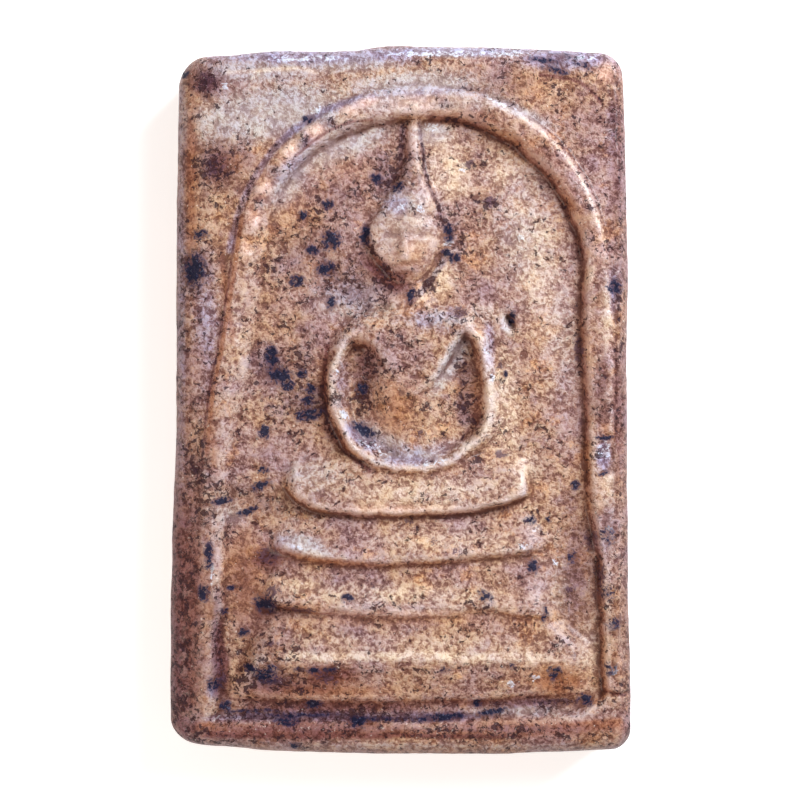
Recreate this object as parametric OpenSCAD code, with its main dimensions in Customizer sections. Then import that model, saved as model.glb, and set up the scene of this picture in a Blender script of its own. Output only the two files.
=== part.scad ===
// Pressed clay amulet tablet: a seated figure on a stepped plinth under an arch, in raised relief.
// The tablet lies on its flat back. +Z points out of the face, +Y runs up the figure and X across it.
// The origin is at the middle of the back. Lengths are millimetres and angles are degrees.

/* [Tablet] */
// Height of the tablet, from its bottom edge to its top edge
tablet_h = 38; // [36:0.5:46]
// Width of the tablet along its bottom edge
tablet_w_bottom = 24.8; // [23:0.1:30]
// Width of the tablet along its top edge
tablet_w_top = 23.6; // [22:0.1:29]
// Thickness from the back to the face outside the arch
tablet_t = 4.6; // [3.4:0.1:7]
// How far the middle of the top edge bows outwards
top_bow = 0.45; // [0:0.05:1.2]
// How far the middle of the bottom edge bows outwards
bottom_bow = 0.6; // [0:0.05:1.2]
// Radius of the four corners, seen from the front
corner_r = 1.2; // [1:0.1:2.4]
// Rounding of the worn front edge
front_edge_r = 0.7; // [0.3:0.05:1]
// Rounding of the back edge
back_edge_r = 0.4; // [0.2:0.05:1]

/* [Arch] */
// Border from the tablet's side to the crest of the arch rib, at the top of the tablet
side_border = 1.8; // [1.4:0.05:3]
// Border from the top edge to the crest of the arch rib
top_border = 3; // [2:0.1:4.5]
// Border from the bottom edge to the sill of the sunk field
bottom_border = 1.85; // [1.5:0.05:3]
// Distance by which the mould sat to the right of the tablet's middle
arch_shift = 0.85; // [0:0.05:1.1]
// Outward splay of the arch's two legs
leg_splay = 1.75; // [0:0.25:2.5]
// Width of the arch rib
rib_w = 1.3; // [0.8:0.05:1.8]
// Rise of the rib's crest above the face
rib_rise = 0.4; // [0.2:0.05:0.8]
// Depth of the sunk field below the face
field_depth = 0.7; // [0.4:0.05:1.2]

/* [Border lines] */
// Width of the thin raised line beside the right leg
edge_line_w = 0.4; // [0.25:0.05:0.7]
// Rise of the thin raised line above the face
edge_line_rise = 0.12; // [0.08:0.02:0.3]
// Distance from the tablet's right side to the middle of the thin raised line
edge_line_inset = 0.45; // [0.35:0.05:0.7]
// Length of the thin raised line, up from the level of the sill
edge_line_l = 24; // [10:0.5:26]
// Width of the low ridge below the sill
sill_ridge_w = 0.8; // [0.4:0.05:1.2]
// Rise of the low ridge below the sill
sill_ridge_rise = 0.2; // [0.1:0.02:0.4]

/* [Plinth] */
// Height of the three-step plinth, seen from the front
plinth_h = 9.8; // [8:0.1:11]
// Rise of the plinth's lowest step above the sunk field
plinth_rise = 0.85; // [0.5:0.05:1.2]
// Gap on the field between the plinth and each leg of the arch, where the plinth stands midway
plinth_gap = 0.75; // [0.3:0.05:1.5]
// Gap on the field between the plinth and the sill
sill_gap = 1.05; // [0.4:0.05:1.8]
// Rounding of each step's lip
lip_r = 0.3; // [0.15:0.05:0.4]

/* [Figure] */
// Distance by which the figure and its plinth sit to the right of the tablet's middle
figure_shift = 0.4; // [0:0.05:0.8]
// Width across the crossed legs
lap_w = 13.2; // [11:0.1:15]
// Height of the crossed legs, seen from the front
lap_h = 3.3; // [2.6:0.1:4]
// Rise of the crossed legs above the sunk field
lap_rise = 1; // [0.6:0.05:1.3]
// Radius of the ring that the two arms make, to the middle of the arm
arm_ring_r = 4.15; // [3.6:0.05:4.6]
// Thickness of an arm
arm_w = 1; // [0.8:0.05:1.3]
// Rise of the arms above the sunk field
arm_rise = 0.95; // [0.6:0.05:1.2]
// How far the joined hands reach down over the crossed legs
hand_drop = 0.75; // [0.3:0.05:1.2]
// Width of the chest at the shoulders
chest_w = 4.8; // [4:0.1:5.4]
// Width of the waist
waist_w = 2.6; // [1.8:0.1:3.2]
// Rise of the chest above the sunk field
chest_rise = 0.8; // [0.5:0.05:1.1]
// Length of the neck, from the shoulders to the chin
neck_h = 2.1; // [1.4:0.1:2.6]
// Width of the neck under the chin
neck_w = 1.5; // [1:0.1:2]

/* [Head] */
// Width of the head
head_w = 3.6; // [3:0.1:4.2]
// Height of the head, from chin to crown
head_h = 4.5; // [4:0.1:5.2]
// Rise of the head above the sunk field
head_rise = 1.1; // [0.7:0.05:1.4]
// Width of the topknot where it leaves the crown
topknot_w = 1.3; // [0.8:0.05:1.8]
// Width of the topknot where it meets the arch
topknot_tip_w = 0.5; // [0.4:0.05:0.8]
// Rise of the topknot above the sunk field
topknot_rise = 0.55; // [0.4:0.05:0.9]
// Sideways lean of the topknot's tip
topknot_lean = 0.45; // [0:0.05:0.8]

/* [Wear] */
// Depth of the chips and pits in the worn face
chip_depth = 0.35; // [0.2:0.05:0.5]

/* [Hidden] */

clay = "peru";

// Facets of the small rounded forms, and of the large turned ones.
small_fn = 16;
large_fn = 96;

// How far each raised form is rooted below the sunk field, so that it grows out of the clay.
root = 0.8;
// How far a bead's round part is seated below the face.
bead_seat = 0.08;

field_z = tablet_t - field_depth;
top_y = tablet_h / 2;
bottom_y = -tablet_h / 2;

// The arch: a half ring over two straight legs.
arch_r = tablet_w_top / 2 - side_border;
arch_y = top_y - top_border - arch_r;
arch_inner_r = arch_r - rib_w / 2;
sill_y = bottom_y + bottom_border;
leg_h = arch_y - sill_y;
leg_out = leg_h * tan(leg_splay);

// The plinth stands above the sill, and each form of the figure stands on the one below it.
plinth_w = 2 * (arch_inner_r + leg_out - plinth_gap);
plinth_y = sill_y + sill_gap;
lap_y = plinth_y + plinth_h;
ring_y = lap_y + lap_h - hand_drop + arm_ring_r;
shoulder_angle = 46;
shoulder_x = arm_ring_r * cos(shoulder_angle);
shoulder_y = ring_y + arm_ring_r * sin(shoulder_angle);
shoulder_r = arm_w * 0.75;
chin_y = shoulder_y + shoulder_r + neck_h;
head_y = chin_y + head_h / 2;
crown_y = chin_y + head_h;

// The plinth's steps from the bottom up. The lip of a step is its lower edge.
// Columns: width and height as shares of the plinth's, rise as a share of plinth_rise, and the lip's sag
// in the middle as a share of plinth_h.
STEPS = [
    [1.00, 0.45, 1.00, 0.00],
    [0.82, 0.29, 0.98, 0.03],
    [0.78, 0.26, 0.96, 0.06],
];
STEP_W = 0;
STEP_H = 1;
STEP_RISE = 2;
STEP_SAG = 3;

// The lowest step's front face falls back below its crest, to this share of its rise at the foot.
foot_rise_share = 0.72;
// The crest's height above the foot and its width, as shares of the lowest step's.
foot_crest_share = 0.52;
foot_crest_w_share = 0.94;

// The worn chips and pits. Columns: place across as a share of the way from the arch's middle to its leg, place
// up as a share of the leg's height above the sill, width and length as shares of the rib's width, and the
// level of the surface that the chip is out of.
crest_z = tablet_t + rib_rise;
CHIPS = [
    [ 1.00, 0.06, 1.60, 0.45, crest_z],
    [ 1.00, 0.64, 0.90, 1.50, crest_z],
    [-1.00, 0.36, 0.80, 1.90, crest_z],
    [ 0.51, 0.92, 0.25, 0.50, field_z],
];
CHIP_ACROSS = 0;
CHIP_UP = 1;
CHIP_W = 2;
CHIP_L = 3;
CHIP_LEVEL = 4;

// Sum of a column's first n entries.
function sum_to(rows, column, n) = n <= 0 ? 0 : rows[n - 1][column] + sum_to(rows, column, n - 1);

// Half-round bead, w wide and rise high, on a stem that reaches deep below the face. Its round part starts
// a little below the face, so that it meets the face at an angle.
function bead(w, rise, deep) =
    concat(
        [for (a = [0:15:180]) [w / 2 * cos(a), (rise + bead_seat) * sin(a) - bead_seat]],
        [[-w / 2, -deep], [w / 2, -deep]]
    );

// How far the rounded front edge lies below the face, at a distance in from the tablet's side.
function edge_drop(inset) =
    let (into = max(0, front_edge_r - inset)) front_edge_r - sqrt(front_edge_r * front_edge_r - into * into);

// Quarter arc from one angle to another about a centre.
function arc(centre, r, from, to) =
    [for (i = [0:6]) centre + r * [cos(from + (to - from) * i / 6), sin(from + (to - from) * i / 6)]];

// Round puck with worn edges: one corner of the tablet.
module puck() {
    rotate_extrude($fn = 32)
        polygon(concat(
            [[0, 0]],
            arc([corner_r - back_edge_r, back_edge_r], back_edge_r, -90, 0),
            arc([corner_r - front_edge_r, tablet_t - front_edge_r], front_edge_r, 0, 90),
            [[0, tablet_t]]
        ));
}

// The clay blank: sides that taper to the top, over bowed top and bottom edges.
module blank() {
    hull()
        for (i = [-3:3]) {
            across = i / 3;
            translate([across * (tablet_w_top / 2 - corner_r), top_y - corner_r - top_bow * across * across])
                puck();
            translate([across * (tablet_w_bottom / 2 - corner_r), bottom_y + corner_r + bottom_bow * across * across])
                puck();
        }
}

// The sunk field, cut down to field_z as far out as the crest of the arch, whose rib is its wall.
module field_cut() {
    translate([arch_shift, 0, field_z])
        linear_extrude(field_depth + 1) {
            translate([0, arch_y]) circle(r = arch_r, $fn = large_fn);
            polygon([
                [-arch_r, arch_y],
                [-arch_r - leg_out, sill_y],
                [arch_r + leg_out, sill_y],
                [arch_r, arch_y],
            ]);
        }
}

// One leg of the arch, from the springing line down to the sill: side is -1 for left and 1 for right.
module arch_leg(side) {
    translate([side * arch_r, arch_y, tablet_t])
        rotate([90, 0, side * leg_splay])
            linear_extrude(leg_h / cos(leg_splay))
                polygon(bead(rib_w, rib_rise, field_depth + root));
}

// The arch rib: a half ring and its two legs.
module arch_rib() {
    translate([arch_shift, 0]) {
        translate([0, arch_y, tablet_t])
            rotate_extrude(angle = 180, $fn = large_fn)
                translate([arch_r, 0]) polygon(bead(rib_w, rib_rise, field_depth + root));
        for (side = [-1, 1]) arch_leg(side);
    }
}

// The thin raised line beside the right leg, which is all that shows of an outer frame line. It follows the
// tablet's tapering side, on the rounding of the front edge.
module edge_line() {
    side_x = tablet_w_bottom / 2 - (tablet_w_bottom - tablet_w_top) / 2 * bottom_border / tablet_h;
    taper = atan((tablet_w_bottom - tablet_w_top) / 2 / tablet_h);
    translate([side_x - edge_line_inset, sill_y, tablet_t - edge_drop(edge_line_inset)])
        rotate([90, 0, 180 + taper])
            linear_extrude(edge_line_l)
                polygon(bead(edge_line_w, edge_line_rise, root));
}

// The low ridge along the border below the sill.
module sill_ridge() {
    ridge_half = arch_inner_r + leg_out + rib_w;
    translate([arch_shift + ridge_half - rib_w / 2, sill_y - sill_ridge_w / 2, tablet_t])
        rotate([90, 0, -90])
            linear_extrude(2 * ridge_half - rib_w)
                polygon(bead(sill_ridge_w, sill_ridge_rise, root));
}

// Round-topped post that carries a hull: its top is rise above the sunk field.
module post(x, y, r, rise) {
    translate([x, y, field_z - root]) cylinder(r = r, h = root + rise - r + 0.01, $fn = small_fn);
    translate([x, y, field_z + rise - r]) sphere(r = r, $fn = small_fn);
}

// One step: it rises from the field at its top to a rounded lip that sags in the middle.
module step(w, h, rise, sag) {
    hull() {
        for (i = [-2:2]) {
            across = i / 2;
            post(across * (w / 2 - lip_r), lip_r + sag * across * across, lip_r, rise);
        }
        for (side = [-1, 1]) post(side * (w / 2 - 2 * lip_r), h, lip_r, lip_r);
    }
}

// The lowest step: its front face leans out from the foot to a crest, and falls back above it.
module foot_step(w, h, rise) {
    crest_y = h * foot_crest_share;
    hull()
        for (side = [-1, 1]) {
            post(side * (w / 2 - lip_r), lip_r, lip_r, rise * foot_rise_share);
            post(side * (w * foot_crest_w_share / 2 - lip_r), crest_y, lip_r, rise);
            post(side * (w * foot_crest_w_share / 2 - lip_r), h + lip_r, lip_r, lip_r);
        }
}

// The plinth: a foot step and two shallower steps, each lapping over the one below.
module plinth() {
    translate([figure_shift, plinth_y])
        foot_step(plinth_w * STEPS[0][STEP_W], plinth_h * STEPS[0][STEP_H], plinth_rise * STEPS[0][STEP_RISE]);
    for (n = [1:len(STEPS) - 1])
        translate([figure_shift, plinth_y + plinth_h * (sum_to(STEPS, STEP_H, n) - STEPS[n][STEP_SAG] / 2)])
            step(
                plinth_w * STEPS[n][STEP_W],
                plinth_h * (STEPS[n][STEP_H] + STEPS[n][STEP_SAG] / 2),
                plinth_rise * STEPS[n][STEP_RISE],
                plinth_h * STEPS[n][STEP_SAG]
            );
}

// The crossed legs: one long cushion-like form with blunt knees, whose lower edge sags in the middle.
module crossed_legs() {
    knee_r = lap_rise * 0.65;
    shin_r = lap_rise * 0.7;
    knee_x = lap_w / 2 - knee_r;
    hull() {
        for (side = [-1, 1]) {
            post(side * knee_x, lap_y + lap_h * 0.42, knee_r, lap_rise);
            post(side * knee_x, lap_y + lap_h - knee_r, knee_r, lap_rise * 0.75);
            post(side * lap_w / 4, lap_y + shin_r * 1.15, shin_r, lap_rise * 0.95);
        }
        post(0, lap_y + shin_r, shin_r, lap_rise * 0.95);
    }
}

// The arms: an open ring from shoulder to shoulder, with the hands in the lap.
module arms() {
    arm_r = arm_w / 2;
    translate([0, ring_y, field_z]) {
        rotate([0, 0, 180 - shoulder_angle])
            rotate_extrude(angle = 180 + 2 * shoulder_angle, $fn = large_fn)
                translate([arm_ring_r, 0]) {
                    translate([0, arm_rise - arm_r]) circle(r = arm_r, $fn = small_fn);
                    translate([-arm_r, -root]) square([arm_w, root + arm_rise - arm_r]);
                }
    }
}

// The shoulders: they slope from the foot of the neck out to the arms.
module shoulders() {
    hull()
        for (side = [-1, 1]) {
            post(side * shoulder_x, shoulder_y, shoulder_r, arm_rise);
            post(side * neck_w / 2, shoulder_y + shoulder_r, shoulder_r * 0.8, chest_rise);
        }
}

// The chest: it narrows from the shoulders to the waist and sinks into the lap.
module chest() {
    chest_r = chest_rise * 0.6;
    hull()
        for (side = [-1, 1]) {
            post(side * (chest_w / 2 - chest_r), shoulder_y, chest_r, chest_rise);
            post(side * (waist_w / 2 - chest_r), ring_y - arm_ring_r * 0.3, chest_r, chest_rise * 0.85);
            post(side * (waist_w / 2 - chest_r), ring_y - arm_ring_r * 0.75, chest_r, chest_rise * 0.65);
        }
}

// The neck: it flares from under the chin into the shoulders.
module neck() {
    neck_r = neck_w / 2;
    hull() {
        for (side = [-1, 1]) post(side * neck_r, shoulder_y + shoulder_r, neck_r, chest_rise);
        post(0, chin_y + neck_r, neck_r, neck_r);
    }
}

// Ellipsoid of half sizes sx, sy and sz, centred lift above the sunk field.
module boss(x, y, lift, sx, sy, sz, fn = small_fn) {
    translate([x, y, field_z + lift]) scale([sx, sy, sz]) sphere(r = 1, $fn = fn);
}

// The head: an egg, fuller at the brow than at the chin.
module head() {
    hull() {
        boss(0, head_y + head_h * 0.06, 0, head_w / 2, head_h * 0.44, head_rise, 2 * small_fn);
        boss(0, head_y - head_h * 0.2, 0, head_w * 0.34, head_h * 0.3, head_rise * 0.92, 2 * small_fn);
    }
}

// A calm, worn face on plain proportions: closed lids halfway down the head, the foot of the nose halfway from
// there to the chin, and the mouth a third of the way further. Each form stands a little proud of the egg.
module face() {
    for (side = [-1, 1])
        boss(side * head_w * 0.19, head_y, head_rise * 0.86, head_w * 0.11, head_h * 0.035, head_rise * 0.1);
    hull() {
        boss(0, head_y + head_h * 0.02, head_rise * 0.86, head_w * 0.035, head_h * 0.03, head_rise * 0.16);
        boss(0, head_y - head_h * 0.22, head_rise * 0.84, head_w * 0.07, head_h * 0.03, head_rise * 0.2);
    }
    boss(0, head_y - head_h * 0.33, head_rise * 0.78, head_w * 0.11, head_h * 0.022, head_rise * 0.1);
}

// The topknot: it flares out of the crown and runs as a thin spire to the underside of the arch.
module topknot() {
    base_r = topknot_w / 2;
    tip_r = topknot_tip_w / 2;
    tip_y = arch_y + arch_r - rib_w / 4;
    hull() {
        post(0, crown_y - base_r, base_r, topknot_rise + base_r / 2);
        post(topknot_lean / 3, crown_y + base_r, tip_r, topknot_rise);
    }
    hull() {
        post(topknot_lean / 4, crown_y, tip_r, topknot_rise);
        post(topknot_lean, tip_y, tip_r, topknot_rise);
    }
}

// The seated figure.
module figure() {
    translate([figure_shift, 0]) {
        crossed_legs();
        arms();
        shoulders();
        chest();
        neck();
        head();
        face();
        topknot();
    }
}

// The chips and pits of long wear: one across the foot of the right leg, one out of that leg's crest, one out of
// the left leg's, and a slit in the field beside the shoulder.
module chips() {
    for (chip = CHIPS) {
        leg_x = arch_r + leg_out * (1 - chip[CHIP_UP]);
        translate([arch_shift + chip[CHIP_ACROSS] * leg_x, sill_y + chip[CHIP_UP] * leg_h, chip[CHIP_LEVEL]])
            scale([chip[CHIP_W] * rib_w / 2, chip[CHIP_L] * rib_w / 2, chip_depth])
                sphere(r = 1, $fn = small_fn);
    }
}

// The whole tablet, pressed from one piece of clay.
module tablet() {
    color(clay)
        difference() {
            union() {
                difference() {
                    blank();
                    field_cut();
                }
                arch_rib();
                edge_line();
                sill_ridge();
                plinth();
                figure();
            }
            chips();
        }
}

tablet();
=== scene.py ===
import math

import bmesh
import bpy
import numpy as np
from mathutils import Matrix, Vector, noise


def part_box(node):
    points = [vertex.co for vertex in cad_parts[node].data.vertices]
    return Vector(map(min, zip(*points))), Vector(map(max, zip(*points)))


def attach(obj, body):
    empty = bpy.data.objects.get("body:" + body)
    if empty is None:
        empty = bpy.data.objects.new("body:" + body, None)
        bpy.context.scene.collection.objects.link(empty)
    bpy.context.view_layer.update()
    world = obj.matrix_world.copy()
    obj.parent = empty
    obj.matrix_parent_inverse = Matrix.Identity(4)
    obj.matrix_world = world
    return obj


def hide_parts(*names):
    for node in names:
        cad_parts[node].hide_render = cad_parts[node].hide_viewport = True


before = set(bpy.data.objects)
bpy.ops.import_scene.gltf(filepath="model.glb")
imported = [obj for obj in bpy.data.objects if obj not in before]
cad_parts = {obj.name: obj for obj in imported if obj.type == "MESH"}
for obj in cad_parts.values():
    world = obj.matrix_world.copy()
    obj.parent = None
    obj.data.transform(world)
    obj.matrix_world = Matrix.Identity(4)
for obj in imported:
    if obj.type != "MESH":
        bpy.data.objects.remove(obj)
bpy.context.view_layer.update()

# Lengths are in millimetres, in the tablet's frame: X to the right, Y up the tablet, Z out of its face.
MM = 0.001
LOW, HIGH = (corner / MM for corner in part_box("tablet"))
HALF_W = (HIGH.x - LOW.x) / 2
HALF_H = (HIGH.y - LOW.y) / 2

# The pressed block
FACE = 4.55  # level of the borders
FIELD = 3.87  # level of the sunk field
FRONT_EDGE = 0.7  # radius of the front edge
BACK_EDGE = 0.4
CORNERS = {(-1, 1): 1.45, (1, 1): 1.25, (-1, -1): 1.3, (1, -1): 1.1}  # radius seen from the front

# The camera looks straight down. The face stands a little nearer to it than the widest outline does.
TALL = 38.0  # height of the tablet
TALL_ROWS = 709  # rows of the picture that the tablet fills
PICTURE = 800  # rows and columns of the picture
VIEW = TALL * PICTURE / TALL_ROWS  # width that the picture shows at the level of the outline
LENS = 90.0
SENSOR = 36.0
CAMERA_FAR = VIEW * LENS / SENSOR  # from the level of the outline
FACE_SCALE = 1 - FRONT_EDGE / CAMERA_FAR  # a step on the face, against the same step on the outline

UNDER = 0.55  # height of the rounded underside of a step
WANDER = 0.14  # how far the hand-cut lines stray from their course
PATH_STEPS = 6  # straight pieces between two rows of a path

# Cells of the mesh
CELLS_X = 200
CELLS_Y = 308
EDGE_RINGS = 8
SIDE_RINGS = 7
BACK_RINGS = 3
BACK_SHARE = 3  # a back cell is this many front cells wide
BACK_INSET = 0.6
RING_DROP = 0.2  # keeps the rings apart until each vertex gets its place

# How far each worn side stands in from the box: place along the side, inset
LEFT_INSET = (
    (-19.0, 0.02), (-16.9, 0.02), (-12.4, 0.02), (-8.1, 0.11), (-5.9, 0.16), (-3.8, 0.27), (0.0, 0.33),
    (4.8, 0.33), (11.2, 0.38), (15.8, 0.44), (19.0, 0.50),
)
RIGHT_INSET = (
    (-19.0, 0.02), (-16.6, 0.02), (-14.5, 0.04), (-10.2, 0.17), (-5.9, 0.20), (-1.6, 0.22), (2.6, 0.22),
    (6.9, 0.20), (11.2, 0.24), (15.8, 0.36), (19.0, 0.50),
)
TOP_INSET = (
    (-12.0, 0.75), (-10.7, 0.58), (-9.3, 0.50), (-7.5, 0.30), (-4.3, 0.31), (-2.7, 0.24), (-1.1, 0.04),
    (1.5, 0.02), (3.8, 0.06), (5.4, 0.10), (8.0, 0.20), (10.2, 0.32), (12.0, 0.42),
)
BOTTOM_INSET = (
    (-12.0, 0.65), (-10.7, 0.48), (-9.1, 0.36), (-7.5, 0.20), (-5.9, 0.12), (-2.7, 0.02), (1.0, 0.0),
    (5.4, 0.0), (7.0, 0.05), (10.2, 0.16), (12.0, 0.22),
)

# Crest of the arch from its left foot to its right foot:
# x, y, width of the inner wall, width of the outer slope, rise above the border
ARCH = (
    (-10.50, -16.6, 0.80, 0.70, 0.17),
    (-10.50, -15.5, 0.80, 0.70, 0.21),
    (-10.45, -14.0, 0.75, 0.80, 0.25),
    (-10.25, -12.5, 0.60, 0.90, 0.29),
    (-10.00, -10.9, 0.55, 0.95, 0.28),
    (-10.05, -8.0, 0.70, 0.80, 0.28),
    (-10.00, -5.4, 0.85, 0.75, 0.28),
    (-9.95, -2.9, 1.00, 0.75, 0.28),
    (-9.60, 0.0, 1.15, 0.70, 0.28),
    (-9.00, 3.7, 1.30, 0.65, 0.30),
    (-8.30, 8.4, 1.15, 0.80, 0.32),
    (-7.50, 10.9, 1.00, 0.60, 0.32),
    (-6.20, 13.0, 0.90, 0.60, 0.32),
    (-4.50, 14.4, 0.90, 0.60, 0.34),
    (-3.10, 15.2, 0.95, 0.60, 0.36),
    (-1.10, 16.0, 1.15, 0.60, 0.38),
    (1.05, 16.4, 1.30, 0.50, 0.38),
    (3.20, 16.15, 1.15, 0.50, 0.38),
    (5.30, 15.5, 1.15, 0.50, 0.39),
    (6.90, 14.65, 1.20, 0.45, 0.39),
    (7.90, 13.85, 1.25, 0.45, 0.38),
    (9.20, 12.3, 1.22, 0.45, 0.36),
    (10.20, 10.3, 1.10, 0.42, 0.34),
    (10.70, 8.3, 1.00, 0.40, 0.32),
    (10.85, 6.0, 1.05, 0.50, 0.30),
    (11.10, 3.7, 1.30, 0.45, 0.28),
    (11.10, 1.6, 1.30, 0.45, 0.29),
    (11.05, -1.6, 1.05, 0.45, 0.27),
    (11.10, -4.6, 1.00, 0.45, 0.25),
    (11.20, -7.0, 0.80, 0.45, 0.25),
    (11.35, -9.5, 0.65, 0.45, 0.25),
    (11.40, -12.5, 0.60, 0.45, 0.23),
    (11.50, -15.5, 0.60, 0.45, 0.19),
    (11.50, -16.6, 0.60, 0.45, 0.13),
)

# Lumps along the crest of the arch: x, y, half width, rise
NODULES = (
    (-1.9, 15.75, 0.36, 0.12), (-2.75, 15.35, 0.38, 0.16), (-4.5, 14.25, 0.46, 0.22),
    (-5.85, 13.2, 0.52, 0.20), (-6.6, 12.3, 0.34, 0.12), (-7.3, 11.3, 0.48, 0.20),
    (-7.7, 10.2, 0.36, 0.12), (-8.0, 9.2, 0.50, 0.16), (-8.3, 7.9, 0.40, 0.10),
    (3.4, 15.75, 0.40, 0.08), (6.0, 14.7, 0.50, 0.10), (8.4, 12.6, 0.55, 0.10),
    (10.2, 9.4, 0.45, 0.10), (10.9, 5.6, 0.40, 0.12), (10.7, 2.2, 0.40, 0.10), (11.1, 0.3, 0.40, 0.10),
)

# Top edge of the sill, below the field: x, y
SILL_TOP = (
    (-12.4, -17.1), (-9.0, -17.15), (6.0, -17.05), (9.5, -16.7), (10.7, -16.1), (11.6, -15.75),
    (12.4, -15.7),
)

# Crest of the ring of the arms, from one shoulder round the hands to the other:
# x, y, width inside the ring, width outside, rise above the field
ARMS = (
    (-1.9, 3.75, 0.50, 0.60, 0.70),
    (-2.8, 3.3, 0.60, 0.60, 0.78),
    (-3.3, 2.5, 0.70, 0.60, 0.80),
    (-3.6, 1.5, 0.80, 0.55, 0.84),
    (-3.65, 0.3, 0.90, 0.45, 0.88),
    (-3.45, -0.9, 0.90, 0.42, 0.92),
    (-2.95, -2.0, 0.90, 0.40, 0.96),
    (-2.1, -2.95, 0.95, 0.40, 1.00),
    (-0.9, -3.6, 1.00, 0.40, 1.04),
    (0.5, -3.8, 1.00, 0.42, 1.04),
    (2.1, -3.55, 0.90, 0.45, 1.00),
    (3.4, -2.95, 0.75, 0.50, 0.94),
    (4.3, -2.1, 0.65, 0.70, 0.88),
    (4.75, -1.0, 0.65, 0.85, 0.84),
    (4.8, 0.3, 0.65, 0.90, 0.84),
    (4.7, 1.6, 0.60, 0.90, 0.88),
    (4.4, 2.7, 0.50, 0.90, 0.90),
    (3.95, 3.5, 0.35, 0.80, 0.90),
    (3.2, 3.85, 0.30, 0.70, 0.75),
)

# The chart of tints and stains. Its places count steps to the right and down from a corner,
# and a step is one pixel of the picture at the level of the face.
STEP = VIEW / PICTURE * FACE_SCALE
CHART_MIDDLE = (400.0, 399.5)  # the place over the middle of the tablet
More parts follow.
